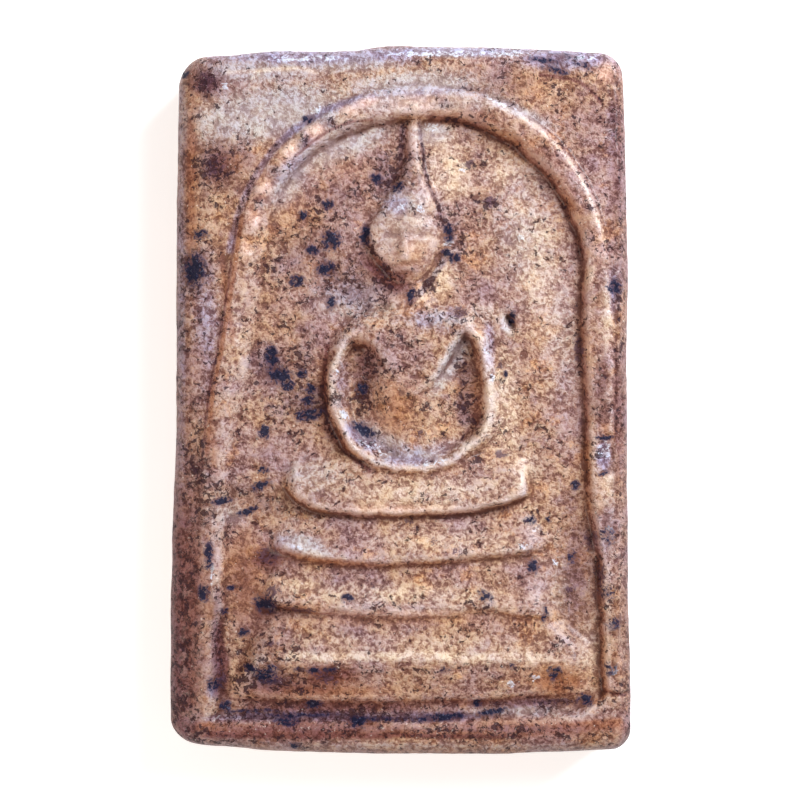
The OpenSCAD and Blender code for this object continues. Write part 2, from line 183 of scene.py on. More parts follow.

# Broad tints: x, y, half width, half height, turn to the left in degrees, strength
# Besides the clay's own colours, these tints paint light: the grey and lilac ones paint bluish sheen and
# reflection on the top edge, the arch's crest and the lower inside of the ring; the cream and blush ones
# paint highlights on lips and crests; the honey one paints warm light under the lips; the rust-brown, umber
# and plum ones paint shade and shadow under the lips, at the arch's walls, beside the ribs and round the
# head.
TINTS = {
    "ash_and_sheen": (
        (460, 50, 76, 6, 0, 1.0), (340, 62, 60, 10, 0, 0.8), (260, 70, 70, 14, 0, 0.7),
        (420, 86, 64, 14, 0, 1.0), (318, 96, 30, 16, 0, 0.7), (360, 100, 70, 8, 12, 0.6),
        (420, 104, 60, 9, 0, 1.0), (512, 108, 42, 6, -25, 0.9), (270, 112, 80, 24, 8, 1.0),
        (432, 132, 16, 10, 0, 1.0), (345, 142, 48, 14, 25, 1.0), (230, 146, 8, 30, -30, 0.3),
        (288, 185, 12, 26, -35, 0.8), (404, 208, 24, 22, 0, 0.7), (525, 235, 34, 70, 10, 0.5),
        (403, 236, 27, 28, 0, 0.75), (360, 300, 45, 22, 0, 0.6), (440, 318, 34, 10, 0, 0.5),
        (508, 323, 6, 9, 0, 1.0), (562, 340, 20, 70, 0, 0.4), (452, 361, 32, 8, 61, 1.0),
        (385, 441, 36, 10, -28, 0.8), (410, 455, 34, 6, 0, 0.9), (315, 475, 35, 18, 0, 0.5),
        (610, 500, 8, 60, 0, 0.4), (232, 515, 22, 12, 0, 0.5), (306, 545, 26, 9, -20, 0.9),
        (565, 590, 22, 36, 0, 0.4), (520, 712, 60, 6, 0, 0.6), (400, 746, 220, 5, 0, 0.4),
    ),
    "lilac": (
        (455, 50, 80, 5, 0, 0.9), (315, 54, 90, 9, 0, 1.0), (568, 57, 44, 11, 0, 1.0),
        (420, 92, 60, 8, 0, 0.4), (420, 92, 60, 6, 0, 0.6), (352, 104, 36, 6, 18, 0.7),
        (612, 130, 8, 40, 0, 0.4), (303, 150, 8, 44, -40, 0.6), (253, 203, 7, 40, -28, 0.5),
        (398, 205, 14, 10, 0, 0.7), (613, 290, 8, 24, 0, 0.7), (335, 292, 30, 12, 0, 0.4),
        (180, 300, 6, 240, 0, 0.5), (450, 314, 28, 9, 0, 0.45), (425, 320, 26, 12, 0, 0.5),
        (205, 330, 14, 60, 0, 0.6), (489, 350, 6, 30, 0, 0.7), (343, 385, 7, 44, 0, 0.4),
        (362, 437, 20, 8, -40, 0.9), (440, 448, 30, 8, 15, 0.5), (410, 452, 36, 8, 0, 0.5),
        (603, 455, 7, 15, 0, 1.0), (410, 460, 34, 6, 0, 0.7), (600, 540, 8, 12, 0, 0.6),
        (280, 546, 12, 12, 0, 0.5), (576, 575, 18, 80, 0, 0.3), (213, 690, 8, 10, 0, 0.7),
        (520, 704, 50, 5, 0, 0.5), (300, 718, 100, 5, 0, 0.9), (430, 718, 60, 5, 0, 0.7),
        (190, 725, 16, 20, 30, 0.6),
    ),
    "cream": (
        (366, 102, 10, 3, 12, 0.5), (420, 105, 60, 8, 0, 0.5), (470, 116, 12, 5, -10, 0.5),
        (316, 131, 6, 5, 0, 0.5), (506, 132, 14, 6, -30, 0.6), (289, 150, 8, 4, 45, 0.5),
        (448, 165, 22, 34, 20, 0.8), (505, 170, 30, 20, 0, 0.5), (264, 186, 5, 8, 0, 0.4),
        (575, 215, 12, 8, -60, 0.6), (412, 236, 22, 26, 0, 0.5), (540, 260, 26, 90, 8, 0.5),
        (590, 265, 6, 16, 0, 0.5), (440, 280, 16, 24, -30, 0.6), (482, 312, 20, 9, 0, 0.6),
        (605, 312, 5, 34, 0, 0.9), (238, 330, 9, 90, 6, 0.4), (489, 400, 6, 50, 0, 0.7),
        (506, 400, 14, 42, 0, 0.8), (506, 440, 14, 16, 0, 0.8), (470, 445, 30, 10, 0, 0.5),
        (522, 470, 16, 20, 0, 0.7), (607, 485, 6, 12, 0, 0.6), (430, 490, 90, 14, 0, 0.6),
        (440, 508, 90, 6, 0, 0.6), (450, 540, 80, 12, 0, 0.5), (475, 560, 70, 5, 0, 0.5),
        (300, 588, 34, 9, 0, 0.5), (400, 594, 110, 10, 0, 0.6), (211, 600, 2.2, 70, -3, 0.3),
        (430, 612, 80, 4, 0, 0.5), (330, 640, 60, 8, 0, 0.4), (440, 644, 110, 9, 0, 0.4),
        (588, 655, 12, 36, 0, 0.6), (500, 660, 80, 8, 0, 0.5),
    ),
    "blush": (
        (606, 72, 10, 10, 0, 0.8), (430, 100, 40, 6, 0, 0.5), (366, 103, 13, 5, 12, 0.8),
        (348, 110, 9, 6, 0, 0.8), (440, 112, 60, 6, -8, 0.6), (315, 132, 9, 8, 0, 1.0),
        (290, 151, 13, 8, 45, 0.7), (264, 187, 8, 11, 0, 0.7), (255, 216, 6, 12, 0, 0.8),
        (404, 240, 28, 30, 0, 0.35), (246, 246, 6, 14, 0, 0.6), (596, 250, 10, 30, 0, 0.4),
        (398, 296, 36, 8, 0, 0.5), (400, 508, 80, 5, 0, 0.6), (420, 612, 90, 4, 0, 0.6),
    ),
    "honey": (
        (535, 82, 40, 16, 0, 0.4), (345, 168, 36, 20, 0, 0.5), (192, 170, 7, 90, 0, 0.5),
        (256, 192, 13, 60, -25, 0.6), (305, 215, 45, 36, 0, 0.5), (412, 252, 22, 16, 0, 0.7),
        (285, 330, 44, 80, 8, 0.3), (590, 400, 6, 120, 0, 0.4), (394, 405, 22, 26, 0, 0.9),
        (312, 560, 40, 6, -8, 0.6), (242, 576, 20, 44, 0, 1.0), (208, 600, 6, 80, 0, 0.5),
        (300, 606, 36, 6, -4, 0.6), (400, 620, 130, 5, 0, 0.5), (560, 676, 40, 14, 0, 0.8),
        (330, 692, 90, 9, 0, 0.6),
    ),
    "rust_and_shade": (
        (540, 110, 26, 14, 0, 0.3), (512, 136, 60, 7, -30, 0.7), (190, 175, 7, 85, 0, 0.7),
        (570, 200, 44, 7, -60, 0.7), (385, 272, 22, 8, -38, 0.8), (228, 300, 4, 60, 8, 0.7),
        (584, 340, 4, 90, 0, 0.35), (200, 360, 12, 30, 0, 0.4), (323, 395, 5, 44, 0, 0.7),
        (476, 400, 6, 40, 0, 0.6), (394, 410, 16, 22, 0, 0.5), (212, 430, 4, 50, 4, 0.6),
        (586, 470, 4, 60, 0, 0.5), (345, 562, 60, 4, -4, 0.7), (450, 562, 90, 3, 2, 0.5),
        (300, 606, 34, 5, -4, 0.5), (330, 675, 26, 9, 0, 0.9), (560, 684, 22, 10, 0, 1.0),
        (300, 690, 70, 6, 0, 0.7), (610, 690, 16, 8, 0, 0.5), (310, 728, 110, 8, 0, 1.0),
        (520, 728, 110, 8, 0, 0.9),
    ),
    "umber": (
        (202, 76, 34, 14, -20, 0.6), (206, 82, 13, 12, 0, 0.9), (505, 82, 45, 18, 0, 0.45),
        (585, 112, 34, 46, 0, 0.33), (617, 150, 9, 110, 0, 0.5), (220, 164, 26, 26, 0, 0.7),
        (408, 165, 7, 36, 0, 0.5), (188, 180, 9, 70, 0, 0.3), (404, 236, 26, 30, 0, 0.4),
        (404, 271, 22, 9, 0, 0.6), (385, 274, 28, 11, -38, 1.0), (364, 290, 24, 20, 0, 0.35),
        (602, 295, 9, 44, 0, 0.4), (364, 362, 14, 30, 0, 0.6), (602, 380, 9, 60, 0, 0.5),
        (466, 392, 12, 42, 0, 0.4), (618, 420, 8, 80, 0, 0.6), (338, 440, 22, 6, -48, 0.8),
        (182, 450, 18, 90, 0, 0.4), (262, 500, 22, 14, 0, 0.3), (609, 525, 9, 34, 0, 0.45),
        (266, 560, 22, 14, 0, 0.8), (242, 580, 16, 46, 0, 0.55), (576, 580, 16, 80, 0, 0.55),
        (266, 608, 18, 16, 0, 0.8), (205, 620, 4, 70, -2, 0.5), (210, 620, 5, 80, 0, 0.5),
        (180, 630, 24, 130, 0, 1.0), (256, 640, 30, 26, 0, 0.4), (618, 640, 9, 80, 0, 0.4),
        (217, 648, 6, 50, 0, 1.0), (222, 672, 7, 26, 0, 1.0), (330, 673, 26, 8, 0, 0.8),
        (300, 682, 60, 14, 0, 0.6), (500, 704, 90, 6, 0, 0.6), (330, 708, 120, 8, 0, 0.75),
        (310, 729, 110, 6, 0, 0.8), (520, 729, 110, 6, 0, 0.45),
    ),
    "plum": (
        (206, 82, 13, 12, 0, 0.9), (446, 104, 14, 6, 0, 0.6), (331, 122, 6, 5, 0, 0.9),
        (480, 122, 14, 4, -20, 0.6), (303, 143, 4, 7, -40, 0.9), (545, 150, 10, 8, -40, 0.5),
        (216, 160, 20, 30, 0, 0.4), (210, 165, 16, 16, 0, 0.6), (392, 170, 22, 24, 0, 0.7),
        (275, 171, 6, 6, 0, 0.9), (488, 200, 12, 9, 0, 0.6), (260, 203, 5, 6, 0, 0.7),
        (335, 205, 30, 40, 0, 0.4), (588, 240, 6, 10, 0, 0.6), (455, 245, 12, 28, 0, 0.4),
        (306, 248, 30, 32, 0, 0.5), (195, 268, 16, 22, 0, 0.8), (336, 270, 34, 22, 0, 0.6),
        (370, 290, 20, 16, 0, 0.6), (362, 292, 24, 20, 0, 0.6), (450, 320, 22, 10, 0, 0.35),
        (184, 330, 14, 44, 0, 0.35), (460, 330, 10, 8, 0, 0.5), (580, 345, 6, 20, 0, 0.5),
        (300, 355, 20, 60, 0, 0.4), (272, 368, 16, 26, 20, 0.7), (372, 385, 14, 50, 0, 0.5),
        (466, 385, 12, 42, 0, 0.55), (600, 390, 8, 40, 0, 0.4), (310, 402, 26, 18, 0, 0.8),
        (340, 402, 6, 30, 0, 0.35), (200, 480, 14, 60, 0, 0.6), (240, 490, 44, 10, 0, 0.5),
        (262, 506, 22, 16, 0, 0.5), (217, 648, 5, 46, 0, 0.5), (262, 668, 26, 22, 0, 0.5),
        (265, 680, 24, 12, 0, 0.8), (178, 690, 18, 60, 0, 0.4), (560, 712, 60, 8, 0, 0.3),
        (330, 717, 130, 6, 0, 0.6), (500, 729, 100, 6, 0, 0.45), (240, 742, 60, 6, 0, 0.5),
    ),
}

# Thin lines of the same tints: tint, half width, strength, course
# Many of these lines paint light: the dark ones at the feet of the arch's walls, under the lips, beside the
# left rib and the ring, round the spire and head and along the fold by the neck are painted shade, and the
# pale ones along the crests of the arch and the base and beside the fold are painted highlights.
LINES = (
    ("umber", 3.4, 0.9, ((430, 117), (460, 120), (491, 132), (521, 151), (545, 173), (560, 195),
                         (574, 225), (581, 252))),
    ("umber", 5.0, 0.42, ((581, 252), (583, 300), (583, 347), (586, 400), (588, 485), (594, 510),
                          (598, 534), (600, 567), (602, 607), (602, 689))),
    ("lilac", 5.0, 0.8, ((362, 97), (318, 114), (284, 138), (260, 170), (242, 206), (230, 250))),
    ("plum", 3.2, 0.4, ((330, 106), (300, 123), (280, 140), (261, 163), (249, 184), (236, 212))),
    ("umber", 2.0, 0.8, ((372, 119), (345, 124), (318, 138), (296, 156))),
    ("ash_and_sheen", 7.0, 0.9, ((345, 136), (318, 148), (300, 166), (288, 190))),
    ("cream", 3.0, 0.6, ((228, 72), (262, 70), (300, 68), (316, 72))),
    ("umber", 2.2, 0.8, ((540, 74), (575, 80), (592, 92), (602, 104))),
    ("umber", 4.5, 0.9, ((190, 733), (240, 734), (300, 735), (390, 735))),
    ("umber", 2.6, 0.9, ((390, 734), (450, 736), (520, 736))),
    ("plum", 3.5, 1.0, ((403, 124), (401, 150), (397, 170), (386, 190))),
    ("plum", 2.2, 0.9, ((419, 121), (423, 150), (427, 178), (436, 200), (443, 222))),
    ("cream", 2.6, 0.55, ((533, 124), (568, 160), (588, 194), (600, 225), (606, 246))),
    ("umber", 1.2, 0.35, ((258, 240), (249, 300), (238, 380), (230, 440))),
    ("cream", 6.0, 0.8, ((290, 655), (320, 657), (350, 654), (380, 656), (420, 653), (470, 657),
                         (510, 654), (545, 658))),
    ("plum", 2.6, 0.35, ((250, 671), (300, 668), (350, 671), (400, 668), (440, 671), (500, 666),
                         (540, 670))),
    ("umber", 1.6, 0.8, ((238, 216), (226, 300), (215, 362), (208, 400), (203, 454), (202, 500))),
    ("rust_and_shade", 2.8, 1.0, ((242, 216), (230, 300), (219, 362), (212, 400), (207, 454))),
    ("cream", 2.0, 0.4, ((252, 268), (243, 300), (236, 345), (228, 400))),
    ("umber", 2.6, 0.9, ((327, 345), (324, 385), (327, 420), (343, 449), (370, 470))),
    ("plum", 2.0, 0.5, ((621, 150), (619, 190), (621, 250), (619, 300), (621, 345))),
    ("umber", 4.5, 0.7, ((218, 590), (217, 640), (216, 694))),
    ("rust_and_shade", 6.0, 1.0, ((200, 727), (300, 730), (400, 732), (500, 731), (560, 728), (618, 722))),
    ("umber", 2.6, 1.0, ((222, 645), (222, 665), (222, 694))),
    ("plum", 3.5, 1.0, ((445, 258), (428, 283), (410, 303))),
    ("cream", 2.0, 0.9, ((451, 258), (432, 286), (412, 308))),
    ("umber", 1.4, 0.4, ((283, 478), (290, 497), (310, 508), (345, 514), (400, 517))),
    ("umber", 1.6, 0.6, ((255, 548), (277, 556), (314, 564), (345, 566))),
    ("umber", 1.2, 0.4, ((345, 566), (400, 566), (455, 563), (510, 557), (545, 548))),
    ("umber", 1.6, 0.6, ((262, 603), (284, 609), (330, 614))),
    ("umber", 2.2, 0.6, ((225, 700), (300, 703), (400, 704), (475, 702), (530, 698), (586, 694))),
    ("umber", 1.5, 1.0, ((605, 690), (615, 693), (626, 695))),
    ("plum", 4.0, 0.9, ((366, 225), (372, 248), (385, 266), (402, 278))),
)

# Stains with an edge, and painted glints (small pale bluish highlights on edges and crests) in the same
# form: x, y, half width, half height, turn to the left in degrees, and a strength if not 1
STAINS_AND_GLINTS = {
    "ink": (
        (566, 55, 12, 3, -6, 0.6), (545, 60, 15, 3, -8, 0.7), (584, 65, 13, 3, -20, 0.65),
        (556, 70, 15, 3, -12, 0.65), (184, 72, 5, 3, 0), (308, 119, 5, 4, 0), (376, 177, 5, 4, -20),
        (399, 186, 6, 4, 30), (327, 203, 5, 4, 0), (302, 214, 4, 4, 0), (449, 231, 4, 8, 0),
        (200, 234, 7, 4, 0), (365, 234, 5, 8, 0), (331, 239, 8, 8, 0), (312, 249, 5, 4, 0),
        (446, 252, 4, 4, 0), (454, 257, 6, 4, 0), (325, 267, 8, 6, 0), (194, 269, 9, 13, 0),
        (296, 280, 6, 5, 0), (614, 286, 7, 6, 0), (410, 295, 3, 7, -20), (331, 302, 4, 6, 0),
        (513, 317, 3, 6, -12), (271, 356, 5, 10, 10), (302, 373, 4, 4, 0), (506, 374, 2, 3, 0),
        (279, 375, 11, 7, -20), (287, 385, 6, 5, 0), (310, 388, 4, 5, 0), (361, 388, 6, 6, 0, 0.8),
        (307, 400, 5, 4, 0), (308, 414, 12, 5, 10), (363, 430, 11, 5, -30), (264, 431, 5, 6, 0),
        (605, 437, 8, 2, 0), (262, 470, 5, 3, 0), (604, 472, 5, 2, 20), (261, 485, 8, 4, 20),
        (576, 485, 4, 4, 0, 0.9), (222, 500, 8, 3, 10), (246, 512, 9, 3, 20), (531, 520, 6, 5, 0, 0.6),
        (549, 520, 3, 4, 0, 0.6), (606, 535, 9, 8, -20, 0.65), (209, 556, 4, 13, 0, 0.85),
        (573, 558, 6, 7, 0, 0.55), (533, 566, 5, 7, 0), (231, 588, 4, 2, 0), (204, 592, 5, 7, 0),
        (607, 592, 7, 6, 0, 0.6), (485, 596, 7, 5, -30, 0.7), (348, 597, 5, 4, 0), (264, 603, 9, 8, -20),
        (224, 611, 3, 3, 0), (545, 614, 3, 8, -10, 0.8), (614, 622, 7, 6, 0, 0.6), (242, 633, 5, 4, 0),
        (512, 665, 5, 4, 0, 0.5), (272, 666, 7, 4, 0, 0.6), (249, 667, 4, 4, 0),
        (330, 668, 8, 3, 0, 0.5), (610, 668, 6, 7, 0, 0.6), (300, 669, 6, 3, 0, 0.5),
        (313, 669, 4, 3, 0), (446, 669, 6, 4, 0, 0.5), (554, 672, 7, 7, -30, 0.7),
        (264, 674, 10, 6, -20), (214, 684, 6, 6, 0, 0.8), (587, 700, 6, 5, 0), (478, 704, 5, 3, 0),
        (313, 705, 7, 4, 0), (224, 707, 5, 5, 0), (250, 712, 24, 2, 3, 0.6), (492, 713, 12, 3, 12),
        (300, 716, 40, 2, 0, 0.6), (440, 718, 22, 3, 4), (380, 720, 30, 2, 0, 0.6), (286, 722, 10, 3, 0),
        (358, 722, 9, 4, 0), (295, 745, 5, 3, 0),
    ),
    "wine": (
        (207, 79, 9, 6, 0), (470, 162, 4, 4, 0), (213, 167, 9, 7, 0), (490, 199, 7, 6, 0),
        (385, 270, 9, 5, -38), (461, 312, 8, 5, 0), (580, 350, 4, 12, 0), (501, 364, 5, 4, 0),
        (400, 391, 3, 4, 0, 0.7), (420, 433, 6, 4, 0, 0.7), (444, 437, 4, 4, 0, 0.7),
        (484, 437, 4, 4, 0, 0.7), (501, 454, 7, 4, 0, 0.75), (504, 510, 6, 5, 0, 0.7),
        (409, 522, 6, 5, 0, 0.7), (590, 540, 4, 10, 0), (433, 541, 4, 4, 0, 0.7), (456, 550, 4, 3, 0),
        (267, 556, 10, 8, 0), (600, 575, 5, 12, 0), (373, 584, 3, 3, 0), (273, 589, 8, 5, -20),
        (571, 591, 4, 4, 0), (300, 610, 14, 3, -4), (271, 644, 6, 3, 0), (248, 668, 6, 4, 0),
        (325, 676, 12, 6, -20), (222, 680, 3, 12, 0), (280, 682, 8, 6, -20), (560, 703, 26, 3, 0),
    ),
    # Painted glints: pale bluish highlights on the top edge, the crests and the lips, not stains
    "painted_glints": (
        (440, 53, 50, 3, 0, 0.9), (500, 53, 30, 3, 0, 0.8), (578, 56, 20, 3, -5, 0.7),
        (300, 58, 40, 3, 0, 0.8), (226, 85, 5, 4, 0, 0.6), (500, 103, 14, 2, -25), (314, 110, 8, 3, 20),
        (430, 125, 6, 4, 0), (463, 168, 3, 2, 0), (400, 207, 4, 3, 0), (420, 209, 4, 3, 0),
        (520, 237, 4, 3, 0), (449, 242, 4, 3, 0), (487, 352, 3, 4, 0), (338, 370, 2, 6, 0, 0.7),
        (491, 376, 3, 5, 0), (344, 415, 3, 6, 30, 0.8), (374, 447, 14, 3, -30), (604, 451, 5, 8, 0),
        (431, 462, 12, 2, 8), (609, 528, 4, 2, 0), (536, 529, 3, 2, 0), (607, 536, 5, 4, 0, 0.7),
        (523, 545, 4, 3, 0), (298, 547, 4, 2, -25), (556, 562, 4, 3, 0), (212, 572, 2, 10, 0, 0.9),
        (613, 623, 4, 3, 0, 0.7), (614, 670, 3, 4, 0), (555, 671, 3, 3, 0, 0.9), (536, 678, 4, 3, 0),
        (511, 684, 3, 3, 0),
    ),
}


def ease(start, end, value):
    """0 at start, 1 at end, with level tangents at both."""
    share = np.clip((value - start) / (end - start), 0.0, 1.0)
    return share * share * (3 - 2 * share)


def merge(a, b, width):
    """The higher of two surfaces, with a fillet about that wide where they cross."""
    gap = np.clip(np.abs(a - b) / width, 0.0, 1.0)
    return np.maximum(a, b) + width * 0.25 * (1 - gap) ** 2


def curve(points, place):
    """A smooth curve through (place, value) pairs."""
    table = np.array(points, float)
    table = table[np.argsort(table[:, 0])]
    at, value = table[:, 0], table[:, 1]
    slope = np.gradient(value, at)
    i = np.clip(np.searchsorted(at, place) - 1, 0, len(at) - 2)
    span = at[i + 1] - at[i]
    u = np.clip((place - at[i]) / span, 0.0, 1.0)
    start = (2 * u ** 3 - 3 * u ** 2 + 1) * value[i] + (u ** 3 - 2 * u ** 2 + u) * span * slope[i]
    end = (3 * u ** 2 - 2 * u ** 3) * value[i + 1] + (u ** 3 - u ** 2) * span * slope[i + 1]
    return start + end


def bell(x, y, cx, cy, rx, ry, turn=0.0):
    """A smooth mound of height 1, turned by some degrees."""
    angle = math.radians(turn)
    along = ((x - cx) * math.cos(angle) + (y - cy) * math.sin(angle)) / rx
    across = ((y - cy) * math.cos(angle) - (x - cx) * math.sin(angle)) / ry
    return np.exp(-along ** 2 - across ** 2)


def smooth_path(rows):
    """The rows joined by a smooth curve, with all their columns."""
    p = np.array(rows, float)
    p = np.vstack([2 * p[0] - p[1], p, 2 * p[-1] - p[-2]])
    out = []
    for a, b, c, d in zip(p, p[1:], p[2:], p[3:]):
        for i in range(PATH_STEPS):
            u = i / PATH_STEPS
            bend = (2 * a - 5 * b + 4 * c - d) * u ** 2 + (3 * b - a - 3 * c + d) * u ** 3
            out.append(0.5 * (2 * b + (c - a) * u + bend))
    out.append(p[-2])
    return np.array(out)


def beside(rows, x, y):
    """For each place: its distance from the path, positive on its left, and the path's other columns."""
    path = smooth_path(rows)
    nearest = np.full(x.shape, 1e9)
    columns = np.zeros(x.shape + (path.shape[1] - 2,))
    for a, b in zip(path, path[1:]):
        step = b[:2] - a[:2]
        share = np.clip(((x - a[0]) * step[0] + (y - a[1]) * step[1]) / (step @ step), 0.0, 1.0)
        dx = x - a[0] - share * step[0]
        dy = y - a[1] - share * step[1]
        distance = np.hypot(dx, dy)
        near = distance < np.abs(nearest)
        side = np.where(step[0] * dy - step[1] * dx >= 0, 1.0, -1.0)
        nearest = np.where(near, distance * side, nearest)
        columns[near] = (a[2:] + share[..., None] * (b[2:] - a[2:]))[near]
    return nearest, columns


def roll(share, shoulder=2.6):
    """The fall of a rounded band from its crest, 0, to its foot, 1. A high shoulder holds it up longer."""
    return 1 - (1 - np.clip(share, 0.0, 1.0) ** shoulder) ** 0.8


def borders(x, y):
    """The flat borders, which fall away to the worn edges."""
    z = np.full(x.shape, FACE)
    z = z - 0.75 * ease(-10.3, -12.6, x)
    z = z - 0.30 * ease(-17.95, -19.1, y)
    z = z - 0.20 * ease(17.9, 19.0, y)
    z = z - 0.10 * ease(11.5, 12.3, x)
    return z - 0.14 * bell(x, y, -6.9, 15.4, 3.6, 1.5, 8)


# Each form of the figure gives its height above the field.
def steps_and_base(x, y):
    """The two steps and the base under the figure."""
    lip_1 = curve(((-7.0, -8.0), (-6.2, -8.25), (-4.6, -8.7), (-3.0, -8.9), (0.0, -8.9), (3.0, -8.7),
                   (5.9, -8.45), (7.3, -8.2), (8.0, -7.9)), x)
    lip_2 = curve(((-7.4, -10.95), (-6.2, -11.3), (-3.8, -11.55), (0.0, -11.7), (2.7, -11.6), (4.8, -11.45),
                   (6.4, -11.65), (8.1, -11.85)), x)
    crest = curve(((-8.5, -13.85), (0.0, -13.75), (8.0, -13.85), (10.0, -13.9)), x)
    foot = curve(((-9.5, -16.0), (-5.0, -16.25), (0.0, -16.3), (4.0, -16.15), (7.0, -16.0),
                  (10.0, -15.85)), x)
    left = curve(((-16.5, -9.5), (-15.0, -8.75), (-13.8, -8.15), (-12.6, -7.8), (-11.6, -7.5),
                  (-10.2, -7.35), (-9.0, -7.0), (-8.0, -6.9), (-6.0, -6.5)), y)
    right = curve(((-16.5, 10.05), (-14.0, 10.0), (-13.1, 9.85), (-12.4, 9.1), (-11.8, 8.4), (-10.2, 8.0),
                   (-9.0, 7.75), (-8.2, 7.8), (-6.0, 7.2)), y)

    def slope(top, lip, low, high):
        return low + (high - low) * np.clip((top - y) / (top - lip), 0.0, 1.0) ** 1.8

    step_1 = slope(-6.2, lip_1 + UNDER, 0.36, 0.86)
    step_2 = slope(lip_1, lip_2 + UNDER, 0.34, 0.94)
    base_top = slope(lip_2, crest, 0.30 + 0.25 * ease(-6.0, -3.5, x), 1.0)
    front = 1.0 - 0.64 * np.clip((crest - y) / (crest - foot), 0.0, 1.0)
    past_1 = roll((lip_1 + UNDER - y) / UNDER)
    past_2 = roll((lip_2 + UNDER - y) / UNDER)
    past_crest = ease(0.36, -0.36, y - crest)
    z = base_top * (1 - past_crest) + front * past_crest
    z = step_2 * (1 - past_2) + z * past_2
    z = step_1 * (1 - past_1) + z * past_1
    ends = ease(-0.75, 0.85, x - left) * ease(-1.1, 1.1, right - x)
    return -0.1 + (z + 0.1) * ends * (1 - roll((foot + 0.4 - y) / 0.5)) * ease(-5.6, -6.6, y)


def crossed_legs(x, y):
    lip = curve(((-6.4, -4.6), (-5.8, -5.3), (-4.8, -5.9), (-3.4, -6.2), (-1.6, -6.35), (0.8, -6.3),
                 (3.5, -6.05), (5.9, -5.6), (7.1, -5.1)), x)
    top = curve(((-6.3, -3.6), (-5.0, -3.2), (-2.0, -2.9), (0.5, -2.8), (3.5, -2.9), (5.5, -3.0),
                 (7.0, -3.3)), x)
    z = 0.62 + 0.34 * ease(0.0, 0.75, (top - y) / (top - lip))
    z = z * (1 - roll((lip + 0.44 - y) / 0.44)) * ease(0.6, -0.8, y - top)
    return z * ease(-6.65, -5.5, x) * ease(7.2, 6.5, x)


def arms(x, y):
    distance, columns = beside(ARMS, x, y)
    inside, outside, rise = np.moveaxis(columns, -1, 0)
    width = np.where(distance > 0, inside, outside)
    return rise * (1 - ease(0.0, 1.15, np.abs(distance) / width))


def chest(x, y):
    left = curve(((4.2, -2.0), (3.2, -1.55), (2.1, -1.35), (0.8, -1.15), (-0.8, -0.85), (-2.0, -0.45),
                  (-3.2, -0.2)), y)
    right = curve(((4.2, 3.9), (3.5, 3.35), (2.8, 2.75), (2.2, 2.25), (1.1, 1.9), (-0.8, 1.95), (-2.0, 2.1),
                   (-3.2, 2.3)), y)
    z = curve(((5.0, 0.65), (3.8, 0.78), (2.0, 0.74), (0.0, 0.62), (-1.6, 0.5), (-3.2, 0.6)), y)
    soft = curve(((4.2, 0.2), (2.4, 0.2), (1.6, 0.6), (0.6, 1.4), (-1.0, 1.6), (-3.2, 1.2)), y)
    z = z * ease(-0.9, 0.7, x - left) * ease(-0.6 * soft, 0.5 * soft, right - x)
    return z * ease(-4.0, -3.2, y) * ease(5.2, 4.2, y)


def shoulders(x, y):
    top = curve(((-4.1, 2.8), (-3.6, 3.3), (-2.9, 4.0), (-1.5, 4.7), (0.4, 5.15), (2.4, 5.2), (3.7, 4.75),
                 (4.6, 4.0), (5.3, 3.0)), x)
    under = curve(((-4.0, 2.4), (-2.6, 3.15), (-1.6, 2.9), (0.5, 0.0), (2.2, 1.6), (3.2, 3.35), (3.8, 3.7),
                   (4.9, 2.6)), x)
    z = 0.82 * ease(0.5, -0.95, y - top) * ease(-0.45, 0.25, y - under)
    return z * ease(-4.3, -3.5, x) * ease(5.4, 4.7, x)


def neck(x, y):
    half = curve(((7.6, 0.7), (6.4, 0.8), (5.4, 1.3), (4.0, 2.4)), y)
    across = ease(0.25, 1.35, np.abs(x - 0.65) / half)
    return 0.55 * (1 - across) * ease(7.3, 5.6, y) * ease(3.4, 4.2, y)


def head(x, y):
    middle = curve(((11.4, 0.5), (8.8, 0.2), (6.2, 0.4)), y)
    half = curve(((11.6, 1.2), (10.4, 1.75), (9.0, 1.98), (7.6, 1.75), (6.2, 1.25)), y)
    widest = 8.65
    reach = ((x - middle) / half) ** 2 + ((y - widest) / np.where(y > widest, 2.6, 2.38)) ** 2
    return 0.85 * np.clip(1 - reach, 0.0, 1.0) ** 0.42 + face(x, y)


def face(x, y):
    """A calm, worn face on plain proportions: closed lids halfway down the head, the foot of the nose
    halfway from them to the chin, and the mouth a third of the way from there."""
    middle, lids, chin = 0.3, 8.65, 6.25
    nose_foot = (lids + chin) / 2
    mouth = nose_foot - (nose_foot - chin) / 3
    z = 0.19 * bell(x, y, middle, mouth, 0.46, 0.15) - 0.09 * bell(x, y, middle, mouth - 0.34, 0.5, 0.16)
    for side in (-1, 1):
        eye = middle + side * 0.78
        z = z - 0.28 * bell(x, y, eye, lids + 0.04, 0.56, 0.42)
        z = z + 0.27 * bell(x, y, eye, lids - 0.06, 0.38, 0.15)
        z = z + 0.09 * bell(x, y, eye, lids + 0.58, 0.5, 0.13, side * -12)
    down = np.clip((lids + 0.3 - y) / (lids + 0.3 - nose_foot), 0.0, 1.0)
    bridge = (0.12 + 0.18 * down) * np.exp(-((x - middle) / (0.17 + 0.15 * down)) ** 2)
    return z + bridge * ease(lids + 0.7, lids + 0.2, y) * ease(nose_foot - 0.14, nose_foot + 0.1, y)


def topknot(x, y):
    middle = curve(((15.6, 0.85), (14.0, 0.75), (12.4, 0.68), (10.4, 0.6)), y)
    half = curve(((15.6, 0.26), (14.0, 0.31), (12.8, 0.40), (11.9, 0.60), (11.1, 0.92), (10.2, 1.15)), y)
    z = curve(((15.6, 0.42), (13.2, 0.50), (11.8, 0.62), (11.0, 0.70), (10.2, 0.74)), y)
    z = z * np.clip(1 - ((x - middle) / (1.5 * half)) ** 2, 0.0, 1.0) ** 0.7
    return z * ease(15.9, 15.2, y) * ease(8.6, 10.4, y)


